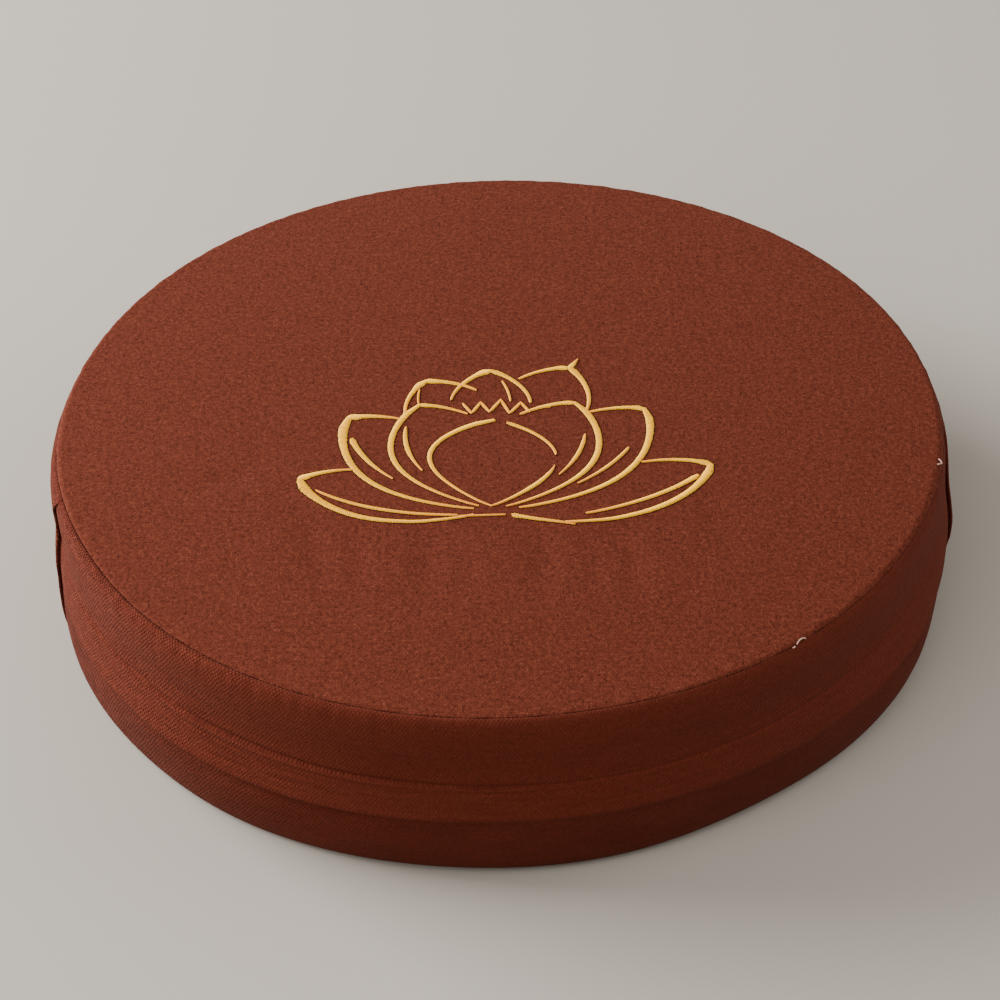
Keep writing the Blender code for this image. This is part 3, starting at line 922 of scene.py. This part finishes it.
def stitched_tree(name, numbers):
    """Geometry Nodes that lay a thread across a line at every pitch, slanting and a little uneven.

    numbers gives each named input's value: the pitch, the slant and how uneven the threads are.
    """
    tree = bpy.data.node_groups.new(name, "GeometryNodeTree")
    tree.interface.new_socket("Line", in_out="INPUT", socket_type="NodeSocketGeometry")
    tree.interface.new_socket("Thread", in_out="INPUT", socket_type="NodeSocketObject")
    tree.interface.new_socket("Finish", in_out="INPUT", socket_type="NodeSocketMaterial")
    for label, value in numbers.items():
        socket = tree.interface.new_socket(label, in_out="INPUT", socket_type="NodeSocketFloat")
        socket.default_value = value
    tree.interface.new_socket("Stitches", in_out="OUTPUT", socket_type="NodeSocketGeometry")

    def node(kind, settings=None, sockets=None):
        """A node of this kind: its settings first, then the values or links of its sockets."""
        made = tree.nodes.new(kind)
        for key, value in (settings or {}).items():
            setattr(made, key, value)
        for key, value in (sockets or {}).items():
            if isinstance(value, bpy.types.NodeSocket):
                tree.links.new(value, made.inputs[key])
            else:
                made.inputs[key].default_value = value
        return made

    given = node("NodeGroupInput").outputs
    line = node("GeometryNodeMeshToCurve", {}, {"Mesh": given["Line"]}).outputs[0]
    spaced = node(
        "GeometryNodeResampleCurve", {"mode": "LENGTH"}, {"Curve": line, "Length": given["Pitch"]}
    ).outputs[0]
    along = node("GeometryNodeInputTangent").outputs[0]
    turned = node(
        "FunctionNodeAlignRotationToVector", {"axis": "Y", "pivot_axis": "Z"}, {"Vector": along}
    ).outputs[0]

    def chance(low, high, seed):
        made = node("FunctionNodeRandomValue", {"data_type": "FLOAT"}, {"Seed": seed})
        made.inputs[2].default_value = low
        made.inputs[3].default_value = high
        return made.outputs[1]

    def maths(operation, first, second):
        return node("ShaderNodeMath", {"operation": operation}, {0: first, 1: second}).outputs[0]

    uneven = maths("MULTIPLY", chance(-1.0, 1.0, 3), given["Uneven turn"])
    slant = maths("ADD", given["Slant"], uneven)
    tip = node("ShaderNodeCombineXYZ", {}, {"Z": slant}).outputs[0]
    tip = node("FunctionNodeEulerToRotation", {}, {0: tip}).outputs[0]
    turned = node(
        "FunctionNodeRotateRotation", {"rotation_space": "LOCAL"}, {0: turned, 1: tip}
    ).outputs[0]
    reach = node("GeometryNodeInputNamedAttribute", {"data_type": "FLOAT"}, {"Name": "reach"})
    stretch = maths("ADD", 1.0, maths("MULTIPLY", chance(-1.0, 1.0, 5), given["Uneven reach"]))
    size = maths("MULTIPLY", reach.outputs[0], stretch)
    size = node("ShaderNodeCombineXYZ", {}, {"X": size, "Y": 1.0, "Z": 1.0}).outputs[0]
    shape = node("GeometryNodeObjectInfo", {}, {"Object": given["Thread"], "As Instance": True})
    laid = node(
        "GeometryNodeInstanceOnPoints",
        {},
        {"Points": spaced, "Instance": shape.outputs["Geometry"], "Rotation": turned, "Scale": size},
    ).outputs[0]
    toned = node(
        "GeometryNodeStoreNamedAttribute",
        {"data_type": "FLOAT", "domain": "INSTANCE"},
        {"Geometry": laid, "Name": "tone", "Value": chance(0.0, 1.0, 11)},
    ).outputs[0]
    real = node("GeometryNodeRealizeInstances", {}, {"Geometry": toned}).outputs[0]
    finished = node(
        "GeometryNodeSetMaterial", {}, {"Geometry": real, "Material": given["Finish"]}
    ).outputs[0]
    output = node("NodeGroupOutput")
    tree.links.new(finished, output.inputs[0])
    return tree


def stitched(name, lines, closed, thread, finish, tree):
    """A plain mesh of stitches laid along lines, each with its points and its threads' reach."""
    points, edges, reaches = [], [], []
    for line, reach in lines:
        first = len(points)
        points += line.tolist()
        reaches += list(reach)
        edges += [(i, i + 1) for i in range(first, len(points) - 1)]
        if closed:
            edges.append((len(points) - 1, first))
    path = bpy.data.meshes.new(name + "_path")
    path.from_pydata(points, edges, [])
    path.attributes.new("reach", "FLOAT", "POINT").data.foreach_set("value", reaches)
    pattern = placed(name + "_thread", thread)
    holder = placed(name, path)
    modifier = holder.modifiers.new("stitches", "NODES")
    modifier.node_group = tree
    socket = {item.name: item.identifier for item in tree.interface.items_tree}
    modifier[socket["Thread"]] = pattern
    modifier[socket["Finish"]] = finish
    seen = holder.evaluated_get(bpy.context.evaluated_depsgraph_get())
    mesh = bpy.data.meshes.new_from_object(seen)
    mesh.name = name
    bpy.data.objects.remove(holder)
    bpy.data.objects.remove(pattern)
    return placed(name, mesh)


def thread_finish(name, dark, light, roughness, specular, narrow=None):
    """Spun thread: its tone changes a little from stitch to stitch and along each of them.

    narrow is the colour of the narrowest satin stitches, where the cloth shows through.
    """
    material, shader, paint = new_finish(name)
    tone = paint.node("Attribute", {"attribute_name": "tone"}, {}, 2)
    place = paint.node("TexCoord", {}, {}, 3)
    patch = paint.node("TexNoise", {}, {"Vector": place, "Scale": 900.0, "Detail": 1.0})
    share = (tone * 0.6 + patch * 0.8 - 0.2).span(0.0, 1.0)
    colour = paint.blend(share, dark, light)
    if narrow:
        reach = paint.node("Attribute", {"attribute_name": "reach"}, {}, 2)
        colour = paint.blend(reach.span(0.5 * MM, 1.2 * MM), narrow, colour)
    colour.into(shader.inputs["Base Color"])
    twist = paint.node("TexNoise", {}, {"Vector": place, "Scale": 5200.0, "Detail": 0.0})
    bump = paint.node("Bump", {}, {"Strength": 0.35, "Distance": 0.06 * MM, "Height": twist})
    bump.into(shader.inputs["Normal"])
    shader.inputs["Roughness"].default_value = roughness
    shader.inputs["Specular IOR Level"].default_value = specular
    return material


gold_thread = thread_finish(
    "gold_thread", (1.0, 0.45, 0.0), (1.0, 0.58, 0.0), 0.5, 0.35, (0.95, 0.36, 0.02)
)
satin_tree = stitched_tree(
    "satin_stitch",
    {"Pitch": STITCH_PITCH, "Slant": math.radians(14), "Uneven turn": math.radians(4),
     "Uneven reach": 0.05},
)
satin_thread = thread_mesh("satin_thread", 4, 5, THREAD, STITCH_ARCH, 0.15 * MM)
lotus = stitched("lotus_embroidery", strokes, False, satin_thread, gold_thread, satin_tree)
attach(lotus, "root")

# Painted shade along the edges of each stroke: flat dark threads laid just under it, reaching a little
# past it, stand in for the shade beside the stitches.
EDGE_SHADE_MARGIN = 0.42 * MM
edge_shade_tree = stitched_tree(
    "needle_holes",
    {"Pitch": 0.75 * MM, "Slant": math.radians(14), "Uneven turn": math.radians(9),
     "Uneven reach": 0.06},
)
edge_shade_pattern = thread_mesh("edge_shade_pattern", 4, 2, 0.9 * MM, 0.0, 0.0)
for corner in edge_shade_pattern.vertices:
    corner.co.z *= 0.16
edge_shade_lines = [(line - (0, 0, 0.02 * MM), reach + EDGE_SHADE_MARGIN) for line, reach in strokes]
# The dark finish of that painted shade.
edge_shade_finish = thread_finish(
    "edge_shade_paint", (0.016, 0.0026, 0.0014), (0.034, 0.0056, 0.0028), 0.9, 0.1
)
needle_holes = stitched("needle_holes", edge_shade_lines, False, edge_shade_pattern, edge_shade_finish, edge_shade_tree)
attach(needle_holes, "root")

# --- seam stitches ----------------------------------------------------------------------------------
# The dark sewing thread of the two round seams. Each stitch bridges the seam's narrow groove and
# draws it in a little.
SEAM_PITCH = 3.0 * MM
SEAM_THREAD = 0.35 * MM
SEAM_POINTS = 720

seam_thread = thread_finish("seam_thread", (0.014, 0.0035, 0.002), (0.040, 0.010, 0.006), 0.7, 0.2)
seam_tree = stitched_tree(
    "seam_stitch",
    {"Pitch": SEAM_PITCH, "Slant": math.radians(58), "Uneven turn": math.radians(7),
     "Uneven reach": 0.12},
)
seam_angles = np.linspace(0, math.tau, SEAM_POINTS, endpoint=False)
seam_reach = np.full(SEAM_POINTS, 0.75 * MM)
seam_loops = [
    (wall_point(seam_angles, roll(seam_angles), pinch(seam_angles, 0.0) + 0.12 * MM), seam_reach),
    (wall_point(seam_angles, WALL_LENGTH, pinch(seam_angles, 0.0) + 0.25 * MM), seam_reach),
]
seam_pattern = thread_mesh("seam_pattern", 5, 4, SEAM_THREAD, 0.05 * MM, 0.15 * MM)
seam = stitched("seam_stitches", seam_loops, True, seam_pattern, seam_thread, seam_tree)
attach(seam, "root")

# --- thread ends ------------------------------------------------------------------------------------
# Two short ends of pale thread left sticking out of the top seam, where the sewing was finished off.
ENDS = (  # points as angle in degrees, length from the seam and height over the skin in millimetres
    ((309.2, 0.1, 0.0), (309.5, -0.5, 0.5), (309.9, -0.8, 0.7), (310.4, -0.7, 0.5),
     (310.7, -0.2, 0.1)),
    ((308.4, 0.5, 0.0), (308.6, 0.6, 0.3), (308.8, 0.5, 0.0)),
    ((352.1, -3.4, 0.0), (351.8, -2.6, 0.4), (351.4, -1.9, 0.5), (351.1, -2.5, 0.4),
     (350.8, -3.4, 0.1)),
)
END_THREAD = 0.6 * MM
END_SIDES = 8


def tube(points, width, sides, steps):
    """A closed round tube along a smooth line, rounded off at both of its ends."""
    knots = np.linspace(0, 1, len(points))
    t = np.linspace(0, 1, steps)
    line = np.stack([eased(t, np.c_[knots, points[:, axis]]) for axis in range(3)], axis=1)
    line = np.concatenate([line[:1] - (line[1] - line[0]) * 0.4, line,
                           line[-1:] + (line[-1] - line[-2]) * 0.4])
    along = np.gradient(line, axis=0)
    along /= np.linalg.norm(along, axis=1)[:, None]
    side = np.cross(along, (0, 0, 1))
    side /= np.linalg.norm(side, axis=1)[:, None]
    top_side = np.cross(side, along)
    girth = np.full(len(line), width / 2)
    girth[[0, -1]] *= 0.45
    around = np.arange(sides) / sides * math.tau
    ring = side[:, None] * np.cos(around)[:, None] + top_side[:, None] * np.sin(around)[:, None]
    verts = (line[:, None] + girth[:, None, None] * ring).reshape(-1, 3)
    faces = []
    for i in range(len(line) - 1):
        for j in range(sides):
            a, b = i * sides + j, i * sides + (j + 1) % sides
            faces.append((a, a + sides, b + sides, b))
    faces.append(tuple(range(sides)))
    faces.append(tuple(range(len(verts) - 1, len(verts) - sides - 1, -1)))
    return verts, faces


end_verts, end_faces = [], []
for end in ENDS:
    spots = np.array(end)
    around_at = np.radians(spots[:, 0])
    down = roll(around_at) + spots[:, 1] * MM
    shoulder = wall_point(around_at, np.maximum(down, 0), -spots[:, 2] * MM - END_THREAD / 2)
    verts, faces = tube(shoulder, END_THREAD, END_SIDES, 18)
    end_faces += [tuple(i + len(end_verts) for i in face) for face in faces]
    end_verts += verts.tolist()
ends_mesh = bpy.data.meshes.new("thread_ends")
ends_mesh.from_pydata(end_verts, [], end_faces)
ends_mesh.shade_smooth()
thread_ends = placed("thread_ends", ends_mesh)
pale_thread = thread_finish("pale_thread", (0.40, 0.20, 0.15), (0.66, 0.46, 0.38), 0.6, 0.3)
ends_mesh.materials.append(pale_thread)
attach(thread_ends, "root")
